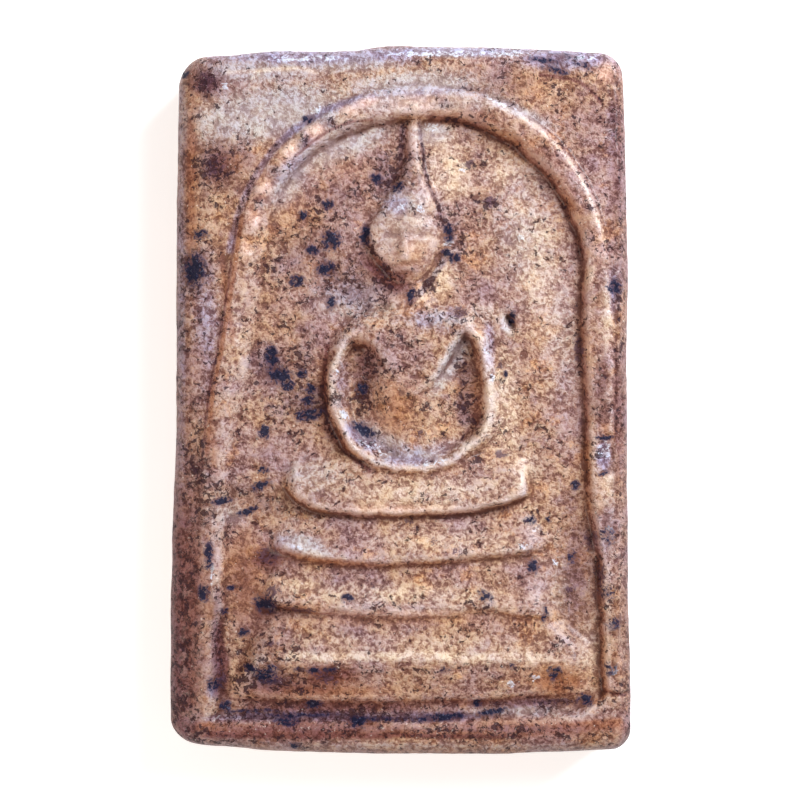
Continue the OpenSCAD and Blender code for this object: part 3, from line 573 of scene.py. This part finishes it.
def hollows(x, y):
    """What is pressed into the field: beside the body, under the chin, and the fold right of the neck."""
    z = 0.26 * bell(x, y, -0.2, 6.35, 1.2, 0.5, -25) + 0.15 * bell(x, y, -1.5, 7.5, 0.55, 1.2, 12)
    fold, _ = beside(((2.8, 8.4), (2.2, 7.4), (1.3, 6.35), (0.55, 5.3)), x, y)
    flap = np.where(fold > 0, np.exp(-fold / 0.8), np.exp(-(fold / 0.16) ** 2))
    return z - 0.34 * flap * ease(8.5, 7.9, y) * ease(4.9, 5.5, y)


def damage(x, y):
    """Depth of the slit pit, of the notch by the right foot and of the chip in the right leg, less the
    height of the thin line down the right border."""
    dx = x - 5.95
    dy = y - 4.3
    z = 0.6 * np.exp(-((dx * 0.94 + dy * 0.33) / 0.2) ** 4 - ((dy * 0.94 - dx * 0.33) / 0.4) ** 4)
    notch, _ = beside(((10.7, -15.55), (11.5, -15.75), (12.3, -15.8)), x, y)
    z = z + 0.26 * np.exp(-(notch / 0.10) ** 2) * ease(10.7, 11.0, x)
    z = z + 0.22 * np.exp(-((x - 11.0) / 0.36) ** 4 - ((y + 2.8) / 1.0) ** 4)
    line, _ = beside(((11.8, 13.5), (11.8, 8.0), (11.78, 3.2), (11.7, 0.2), (11.35, -0.9), (11.3, -1.6),
                      (11.6, -3.6), (11.75, -8.5), (11.8, -15.0)), x, y)
    return z - 0.14 * np.exp(-(line / 0.12) ** 2) * ease(13.5, 11.0, y) * ease(-15.4, -14.4, y)


def relief(x, y):
    """Height of the pressed front at each place."""
    border = borders(x, y)
    distance, columns = beside(ARCH, x, y)
    inner, outer, rise = np.moveaxis(columns, -1, 0)
    inside = distance < 0
    away = np.abs(distance)
    crest = border + rise
    past_wall = np.clip(away - inner, 0.0, 9.0)
    floor = FIELD + 0.10 * np.exp(-past_wall / 0.6) + 0.16 * ease(-3.0, -10.0, x) * np.exp(-past_wall / 1.1)
    bulge = 2.6 + 3.4 * ease(-6.5, -3.0, x)
    down = away / inner
    wall = crest + (floor - crest) * (0.15 * np.clip(down, 0.0, 1.0) + 0.85 * roll(down, bulge))
    arch = np.where(inside, wall, crest - rise * roll(away / outer))
    for cx, cy, half, lump in NODULES:
        arch = arch + lump * bell(x, y, cx, cy, half, half)
    sill = border + 0.12 * np.exp(-((y + 17.68) / 0.26) ** 2) * ease(-11.2, -10.4, x)
    sill_top = curve(SILL_TOP, x)
    z = sill + (arch - sill) * np.where(inside, ease(-0.3, 0.3, y - sill_top), ease(-16.6, -16.0, y))
    field = inside & (y > sill_top - 0.3)

    figure = steps_and_base(x, y)
    for form, fillet in ((crossed_legs, 0.05), (chest, 0.10), (shoulders, 0.15), (arms, 0.12), (neck, 0.15),
                         (head, 0.08), (topknot, 0.12)):
        figure = merge(figure, form(x, y), fillet)
    ground = z - FIELD - np.where(field, hollows(x, y), 0.0)
    z = np.where(field, merge(ground, figure, 0.10), ground)
    z = z - 0.14 * bell(x, y, -2.15, 0.5, 0.75, 2.1, -8) - 0.22 * bell(x, y, 3.2, 0.7, 0.62, 2.1, 6)
    ridge, _ = beside(((3.4, 2.25), (2.5, 1.45), (1.8, 0.6)), x, y)
    z = z + 0.14 * np.exp(-(ridge / 0.14) ** 2) * ease(0.4, 0.9, y) * ease(2.5, 2.0, y)
    return z + FIELD - damage(x, y)


def put_in_order(bm):
    """Sorts the edges and faces by their vertices, because extruding makes them in no fixed order."""
    bm.verts.index_update()
    for elements in (bm.edges, bm.faces):
        ordered = sorted(elements, key=lambda element: sorted(v.index for v in element.verts))
        for i, element in enumerate(ordered):
            element.index = i
        elements.sort()


def blank():
    """The tablet's plan as a mesh: a fine front, rings round the edge and a coarser back. Layers: how far
    out of the plan a vertex goes, its share of the front's height, and its drop from it."""
    bm = bmesh.new()
    out = bm.verts.layers.float.new("out")
    share = bm.verts.layers.float.new("share")
    drop = bm.verts.layers.float.new("drop")
    plan = Matrix.Diagonal((HALF_W - FRONT_EDGE, HALF_H - FRONT_EDGE, 1.0, 1.0))
    front = bmesh.ops.create_grid(bm, x_segments=CELLS_X, y_segments=CELLS_Y, size=1.0, matrix=plan)
    for v in front["verts"]:
        v[share] = 1.0
    profile = []
    for i in range(1, EDGE_RINGS + 1):
        angle = math.pi / 2 * i / EDGE_RINGS
        profile.append((FRONT_EDGE * math.sin(angle), 1.0, FRONT_EDGE * (1 - math.cos(angle))))
    back_share = BACK_EDGE / (FACE - FRONT_EDGE)
    for i in range(1, SIDE_RINGS + 1):
        profile.append((FRONT_EDGE, 1 + (back_share - 1) * i / SIDE_RINGS, FRONT_EDGE))
    for i in range(1, BACK_RINGS + 1):
        angle = math.pi / 2 * i / BACK_RINGS
        inward = BACK_EDGE * (1 - math.cos(angle))
        profile.append((FRONT_EDGE - inward, back_share * (1 - math.sin(angle)), FRONT_EDGE))
    rim = [e for e in bm.edges if e.is_boundary]
    for reach, height, fall in profile:
        made = bmesh.ops.extrude_edge_only(bm, edges=rim)["geom"]
        for v in made:
            if isinstance(v, bmesh.types.BMVert):
                v[out] = reach
                v[share] = height
                v[drop] = fall
                v.co.z -= RING_DROP
        rim = [e for e in made if isinstance(e, bmesh.types.BMEdge) and e.is_boundary]
    rim_z = rim[0].verts[0].co.z
    back_plan = Matrix.Translation((0, 0, rim_z)) @ Matrix.Diagonal(
        (HALF_W - FRONT_EDGE - BACK_INSET, HALF_H - FRONT_EDGE - BACK_INSET, 1.0, 1.0))
    bmesh.ops.create_grid(bm, x_segments=CELLS_X // BACK_SHARE, y_segments=CELLS_Y // BACK_SHARE, size=1.0,
                          matrix=back_plan)
    put_in_order(bm)
    bmesh.ops.bridge_loops(bm, edges=[e for e in bm.edges if e.is_boundary])
    put_in_order(bm)
    bmesh.ops.recalc_face_normals(bm, faces=bm.faces)
    return bm


def to_plan(x, y, out):
    """Rounds the corners of the square plan, then moves each vertex out of it."""
    corner = np.zeros(x.shape)
    for (side_x, side_y), radius in CORNERS.items():
        here = (np.sign(x) * side_x >= 0) & (np.sign(y) * side_y >= 0)
        corner = np.where(here, radius - FRONT_EDGE, corner)
    core_x = np.clip(x, corner - HALF_W + FRONT_EDGE, HALF_W - FRONT_EDGE - corner)
    core_y = np.clip(y, corner - HALF_H + FRONT_EDGE, HALF_H - FRONT_EDGE - corner)
    dx, dy = x - core_x, y - core_y
    round_x = dx * np.sqrt(1 - (dy / corner) ** 2 / 2)
    round_y = dy * np.sqrt(1 - (dx / corner) ** 2 / 2)
    length = np.maximum(np.hypot(round_x, round_y), 1e-6)
    x = core_x + round_x * (1 + out / length)
    y = core_y + round_y * (1 + out / length)
    inset_x = np.where(x < 0, curve(LEFT_INSET, y), curve(RIGHT_INSET, y))
    inset_y = np.where(y < 0, curve(BOTTOM_INSET, x), curve(TOP_INSET, x))
    return x * (1 - inset_x / HALF_W), y * (1 - inset_y / HALF_H)


def read_layer(mesh, name):
    values = np.zeros(len(mesh.vertices), np.float32)
    mesh.attributes[name].data.foreach_get("value", values)
    return values.astype(float)


def write_layer(mesh, name, values):
    mesh.attributes.new(name, "FLOAT", "POINT").data.foreach_set("value", values.astype(np.float32))


def clouds(points, size, offset=0.0):
    """Smooth noise of about -1 to 1 at each point, in three octaves from that size of lump down."""
    shift = Vector((offset, offset * 1.7, 0))
    return np.array([noise.fractal(Vector(p) / size + shift, 1.0, 2.0, 3) for p in points])


def blur(grid, passes):
    """A grid of heights, averaged with its neighbours that many times."""
    for _ in range(passes):
        padded = np.pad(grid, 1, mode="edge")
        grid = (padded[:-2, 1:-1] + 2 * padded[1:-1, 1:-1] + padded[2:, 1:-1]) / 4
        padded = np.pad(grid, 1, mode="edge")
        grid = (padded[1:-1, :-2] + 2 * padded[1:-1, 1:-1] + padded[1:-1, 2:]) / 4
    return grid


def on_tablet(place_x, place_y):
    """A place on the chart, in millimetres."""
    return (place_x - CHART_MIDDLE[0]) * STEP, (CHART_MIDDLE[1] - place_y) * STEP


def traced(tint, x, y):
    """The strongest of the chart's lines in that tint at each place."""
    found = np.zeros(x.shape)
    for name, half_width, strength, course in LINES:
        if name == tint:
            distance, _ = beside([on_tablet(*place) for place in course], x, y)
            found = np.maximum(found, strength * np.exp(-(distance / (half_width * STEP)) ** 2))
    return found


def charted(rows, x, y):
    """The strongest of a chart's marks at each place."""
    found = np.zeros(x.shape)
    for place_x, place_y, half_w, half_h, turn, *given in rows:
        strength = given[0] if given else 1.0
        angle = math.radians(turn)
        middle_x, middle_y = on_tablet(place_x, place_y)
        dx = x - middle_x
        dy = y - middle_y
        along = (dx * math.cos(angle) + dy * math.sin(angle)) / (half_w * STEP)
        across = (dy * math.cos(angle) - dx * math.sin(angle)) / (half_h * STEP)
        found = np.maximum(found, strength * np.exp(-0.7 * (along ** 2 + across ** 2)))
    return found


def tablet_mesh():
    bm = blank()
    mesh = bpy.data.meshes.new("pressed_tablet")
    bm.to_mesh(mesh)
    bm.free()
    count = len(mesh.vertices)
    spot = np.zeros(count * 3, np.float32)
    mesh.vertices.foreach_get("co", spot)
    spot = spot.reshape(-1, 3).astype(float)
    out, share, drop = (read_layer(mesh, name) for name in ("out", "share", "drop"))
    x, y = to_plan(spot[:, 0], spot[:, 1], out)
    front = np.arange(count) < (CELLS_X + 1) * (CELLS_Y + 1)
    places = np.stack([x, y, share * 4], 1)  # four times the share is near enough to the height
    stray_x = clouds(places, 1.5, 9.0)
    stray_y = clouds(places, 1.5, 13.0)
    height = relief((x + WANDER * stray_x) / FACE_SCALE, (y + WANDER * stray_y) / FACE_SCALE)
    shape = (CELLS_Y + 1, CELLS_X + 1)
    height[front] = blur(height[front].reshape(shape), 1).ravel()
    lumps = clouds(places, 2.6)
    grit = clouds(places, 0.55, 5.0)
    height = height + 0.05 * lumps + (0.03 + 0.05 * ease(FACE + 0.05, FACE + 0.25, height)) * grit
    z = share * (height - drop)
    side = np.clip(out / FRONT_EDGE, 0.0, 1.0)
    pull = side * (0.01 + 0.05 * lumps + 0.02 * grit)
    length = np.maximum(np.hypot(x / HALF_W, y / HALF_H), 1e-6)
    x = x * (1 - pull / HALF_W / length)
    y = y * (1 - pull / HALF_H / length)
    spot = np.clip(np.stack([x, y, z], 1), np.array(LOW), np.array(HIGH))
    mesh.vertices.foreach_set("co", (spot * MM).astype(np.float32).ravel())
    for name in ("out", "share", "drop"):
        mesh.attributes.remove(mesh.attributes[name])
    grid = height[front].reshape(shape)
    rise_y, rise_x = np.gradient(blur(grid, 1), 2 * HALF_H / CELLS_Y)
    for name, found in (("fine", grid - blur(grid, 6)), ("crease", 24 * (blur(grid, 2) - grid) - 0.38),
                        ("shade", 0.8 * rise_y + 0.6 * rise_x)):
        values = np.zeros(count)
        values[front] = found.ravel()
        write_layer(mesh, name, values)
    write_layer(mesh, "rim", side * ease(17.6, 16.6, y))
    on_front = ease(0.45, 1.0, share)
    for name, rows in TINTS.items():
        write_layer(mesh, name, np.maximum(charted(rows, x, y), traced(name, x, y)) * on_front)
    for name, rows in STAINS_AND_GLINTS.items():
        write_layer(mesh, name, charted(rows, x, y) * on_front)
    for polygon in mesh.polygons:
        polygon.use_smooth = True
    mesh.update()
    return mesh


def linear(red, green, blue):
    """A colour given as it looks, 0 to 255, for a shader."""
    def channel(value):
        value = value / 255
        return value / 12.92 if value <= 0.04045 else ((value + 0.055) / 1.055) ** 2.4
    return (channel(red), channel(green), channel(blue), 1.0)


class Wire:
    """A socket that takes part in sums."""

    def __init__(self, paint, socket):
        self.paint = paint
        self.socket = socket

    def math(self, operation, *values, clamp=False):
        sockets = dict(enumerate(values))
        return self.paint.node("ShaderNodeMath", {"operation": operation, "use_clamp": clamp}, sockets)

    def __add__(self, other):
        return self.math("ADD", self, other)

    def __radd__(self, other):
        return self.math("ADD", other, self)

    def __sub__(self, other):
        return self.math("SUBTRACT", self, other)

    def __rsub__(self, other):
        return self.math("SUBTRACT", other, self)

    def __mul__(self, other):
        return self.math("MULTIPLY", self, other)

    def __rmul__(self, other):
        return self.math("MULTIPLY", other, self)

    def size(self):
        """The value without its sign."""
        return self.math("ABSOLUTE", self)

    def clamp(self):
        return self.math("ADD", self, 0.0, clamp=True)

    def rise(self, start, end):
        """0 below start, 1 above end."""
        sockets = {"Value": self, "From Min": start, "From Max": end, "To Min": 0.0, "To Max": 1.0}
        return self.paint.node("ShaderNodeMapRange", {"interpolation_type": "SMOOTHSTEP"}, sockets)


class Paint:
    """A material and the nodes in it."""

    def __init__(self, name):
        self.material = bpy.data.materials.new(name)
        self.material.use_nodes = True
        self.tree = self.material.node_tree
        self.tree.nodes.clear()
        self.place = self.node("ShaderNodeTexCoord", {}, {}, "Object")

    def node(self, kind, settings, sockets, output=0):
        node = self.tree.nodes.new(kind)
        for name, value in settings.items():
            setattr(node, name, value)
        for name, value in sockets.items():
            if isinstance(value, Wire):
                self.tree.links.new(value.socket, node.inputs[name])
            else:
                node.inputs[name].default_value = value
        if not node.outputs:
            return None
        return Wire(self, node.outputs[output])

    def mix(self, share, first, second, blend="MIX", clamp=True):
        settings = {"data_type": "RGBA", "blend_type": blend, "clamp_result": clamp}
        return self.node("ShaderNodeMix", settings, {0: share, 6: first, 7: second}, 2)

    def noise(self, size, detail, roughness, offset=0.0, swirl=0.0):
        """Noise of 0 to 1 with lumps of that size in millimetres, drawn out into curls by the swirl."""
        shift = (offset * MM, offset * 0.7 * MM, offset * 0.3 * MM)
        place = self.node("ShaderNodeVectorMath", {"operation": "ADD"}, {0: self.place, 1: shift})
        sockets = {"Vector": place, "Scale": 1 / (size * MM), "Detail": detail, "Roughness": roughness,
                   "Distortion": swirl}
        return self.node("ShaderNodeTexNoise", {}, sockets)

    def layer(self, name):
        return self.node("ShaderNodeAttribute", {"attribute_name": name}, {}, "Fac")


def fired_clay():
    paint = Paint("fired_clay")
    drift = paint.noise(3.6, 3.0, 0.6, 3.0)
    mottle = paint.noise(0.9, 3.0, 0.6, 7.0)
    grain = paint.noise(0.38, 3.0, 0.6, 11.0, swirl=0.5)
    crumb = paint.noise(0.20, 2.0, 0.6, 17.0, swirl=0.5)
    cluster = paint.noise(1.4, 3.0, 0.6, 23.0)
    speck = paint.noise(0.30, 3.0, 0.6, 37.0, swirl=0.5)
    edge = paint.noise(0.3, 4.0, 0.75, 43.0)
    fine = paint.layer("fine")
    crease = paint.layer("crease")
    shade = paint.layer("shade")
    rim = paint.layer("rim")
    stray = (edge - 0.5) * 1.2

    colour = paint.mix(drift.rise(0.38, 0.62), linear(169, 131, 107), linear(157, 123, 117))
    patches = paint.noise(1.7, 5.0, 0.7, 91.0)
    colour = paint.mix(patches.rise(0.54, 0.66) * 0.5, colour, linear(190, 134, 88))
    colour = paint.mix(patches.rise(0.46, 0.34) * 0.5, colour, linear(130, 98, 104))
    # Each tint mixes the clay's own colour with painted light: the grey, lilac, cream and blush ones paint
    # sheen, reflection and highlights, the honey one warm light under the lips, the rust-brown, umber and
    # plum ones shade and shadow.
    tints = (("ash_and_sheen", 0.75, linear(173, 163, 163)), ("lilac", 0.75, linear(144, 134, 160)),
             ("cream", 0.6, linear(214, 187, 163)), ("blush", 0.65, linear(208, 162, 144)),
             ("honey", 0.6, linear(174, 121, 80)), ("rust_and_shade", 0.75, linear(140, 82, 52)),
             ("umber", 0.85, linear(100, 52, 52)), ("plum", 0.6, linear(92, 64, 78)))
    for name, strength, tint in tints:
        mask = (paint.layer(name) + stray * 0.4 + (crumb - 0.5) * 0.3).rise(0.1, 0.8) * strength
        colour = paint.mix(mask, colour, tint)
    warm = (paint.layer("rust_and_shade") + paint.layer("umber")).clamp()
    # Painted highlight: raised relief is whitened, less so under the rust-brown and umber tints.
    colour = paint.mix((fine * 7.0).clamp() * (1 - warm * 0.8) * 0.5, colour, linear(204, 184, 180))
    colour = paint.mix(shade.clamp() * 0.35, colour, linear(176, 114, 84))
    # Painted shade: the rounded sides, all but the top one, are darkened.
    colour = paint.mix((rim + stray * 0.3).rise(0.0, 1.0) * 0.6, colour, linear(92, 56, 60))
    # Painted shade with dirt: hollows and the feet of steps and walls are darkened along their creases.
    crease = (crease * mottle.rise(0.3, 0.6) + stray * 0.3).clamp()
    colour = paint.mix(crease * 0.7, colour, linear(98, 54, 40))

    ragged = (grain - 0.5) * 3.0 + (crumb - 0.5) * 2.6
    # Painted glints, pale bluish highlights on edges and crests, then the wine-coloured stains
    stains_and_glints = (("painted_glints", 0.6, linear(196, 194, 202)), ("wine", 0.85, linear(72, 42, 52)))
    for name, strength, mark_colour in stains_and_glints:
        layer = paint.layer(name)
        mask = (layer * 1.5 + ragged * 1.5).rise(0.75, 1.05) * layer.rise(0.1, 0.5)
        colour = paint.mix(mask * strength, colour, mark_colour)

    hue = paint.noise(0.8, 4.0, 0.6, 83.0)
    cast = paint.mix(hue.rise(0.36, 0.64), (0.97, 0.95, 1.00, 1.0), (1.03, 1.0, 0.92, 1.0), clamp=False)
    colour = paint.mix(1.0, colour, cast, "MULTIPLY")
    # Painted light in the tone: the fine relief term lightens raised parts and darkens hollows, on top of
    # the random grain.
    tone = mottle * 0.5 + grain * 0.7 + crumb * 0.9 - 0.56 + fine * 1.5
    calm = (paint.layer("cream") * 0.6 + paint.layer("ash_and_sheen") + paint.layer("honey") * 0.4
            + paint.layer("blush") * 0.8).clamp()
    dark = tone.rise(0.5, 0.30) * (1 - calm * 0.55)
    light = tone.rise(0.45, 0.62) * (1 - calm * 0.2)
    colour = paint.mix(dark, colour, (0.41, 0.30, 0.31, 1.0), "MULTIPLY")
    colour = paint.mix(light, colour, (1.36, 1.61, 1.72, 1.0), "MULTIPLY")

    dirt = cluster * 0.55 + paint.layer("plum") * 0.18 + paint.layer("umber") * 0.06 - calm * 0.05
    pits = (speck + dirt).rise(0.91, 0.96)
    pit_colour = paint.mix(edge.rise(0.4, 0.6), linear(62, 32, 32), linear(50, 32, 44))
    colour = paint.mix(pits * 0.85, colour, pit_colour)
    crack = paint.noise(0.8, 3.0, 0.6, 61.0)
    crack = (1 - (crack - 0.5).size().rise(0.0, 0.012)) * (dirt + grain * 0.2).rise(0.37, 0.46)
    colour = paint.mix(crack * 0.75, colour, linear(70, 38, 38))
    glint = (paint.noise(0.2, 3.0, 0.6, 71.0) + fine * 0.6).rise(0.66, 0.72)
    colour = paint.mix(glint * 0.4, colour, linear(236, 224, 212))

    ink = paint.layer("ink")
    halo = (ink * 1.6 + ragged).rise(0.25, 0.7) * ink.rise(0.05, 0.3)
    colour = paint.mix(halo * 0.6, colour, linear(64, 46, 66))
    blot = (ink * 1.6 + ragged * 1.5).rise(0.75, 1.0) * ink.rise(0.15, 0.45)
    # The pale flecks inside the blots are painted glints on the glossy ink.
    flecks = paint.noise(0.16, 2.0, 0.6, 29.0).rise(0.60, 0.68)
    pool = paint.mix((ink + ragged * 0.25).rise(0.35, 0.7), linear(62, 46, 70), linear(17, 23, 50))
    colour = paint.mix(blot * 0.93, colour, paint.mix(flecks * 0.5, pool, linear(112, 112, 136)))

    height = grain * 0.75 + crumb * 0.4 + pits * -0.25 + mottle * 0.5 + crack * -0.15
    bump = paint.node("ShaderNodeBump", {}, {
        "Strength": 1.0, "Distance": 0.30 * MM, "Height": height * (1 - calm * 0.5)})
    shader = paint.node("ShaderNodeBsdfPrincipled", {}, {
        "Base Color": colour, "Roughness": 0.4 + grain * 0.25, "Normal": bump,
        "Coat Weight": (1 - pits) * (1 - blot) * 0.3, "Coat Roughness": 0.2, "Specular IOR Level": 0.12})
    paint.node("ShaderNodeOutputMaterial", {}, {"Surface": shader})
    return paint.material


def pale_floor():
    paint = Paint("pale_floor")
    white = (0.95, 0.95, 0.95, 1.0)
    shader = paint.node("ShaderNodeBsdfPrincipled", {}, {
        "Base Color": white, "Roughness": 0.9, "Emission Color": white, "Emission Strength": 0.45})
    paint.node("ShaderNodeOutputMaterial", {}, {"Surface": shader})
    return paint.material


def add_object(name, data):
    item = bpy.data.objects.new(name, data)
    bpy.context.scene.collection.objects.link(item)
    return item


def add_floor():
    bm = bmesh.new()
    bmesh.ops.create_grid(bm, x_segments=1, y_segments=1, size=600 * MM)
    mesh = bpy.data.meshes.new("floor")
    bm.to_mesh(mesh)
    bm.free()
    mesh.materials.append(pale_floor())
    add_object("floor", mesh)


def add_light(name, place, size, power, colour):
    """An area light that faces the middle of the tablet."""
    lamp = bpy.data.lights.new(name, "AREA")
    lamp.size = size * MM
    lamp.energy = power
    lamp.color = colour
    item = add_object(name, lamp)
    item.location = Vector(place) * MM
    item.rotation_euler = (-item.location).to_track_quat("-Z", "Y").to_euler()


def add_camera():
    lens = bpy.data.cameras.new("camera")
    lens.sensor_width = SENSOR
    lens.lens = LENS
    item = add_object("camera", lens)
    item.location = (0, 0, (FACE - FRONT_EDGE + CAMERA_FAR) * MM)
    bpy.context.scene.camera = item


def add_stage():
    add_floor()
    add_light("key", (82, 70, 84), 70, 0.29, (0.93, 0.94, 1.0))
    add_light("fill", (-120, -90, 110), 120, 0.22, (1.0, 0.84, 0.72))
    world = bpy.data.worlds.new("studio")
    world.use_nodes = True
    background = world.node_tree.nodes["Background"]
    background.inputs["Color"].default_value = (0.95, 0.97, 1.0, 1.0)
    background.inputs["Strength"].default_value = 0.28
    scene = bpy.context.scene
    scene.world = world
    scene.view_settings.view_transform = "Standard"
    add_camera()


tablet = add_object("pressed_tablet", tablet_mesh())
tablet.data.materials.append(fired_clay())
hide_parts("tablet")
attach(tablet, "root")
add_stage()

bpy.context.view_layer.update()
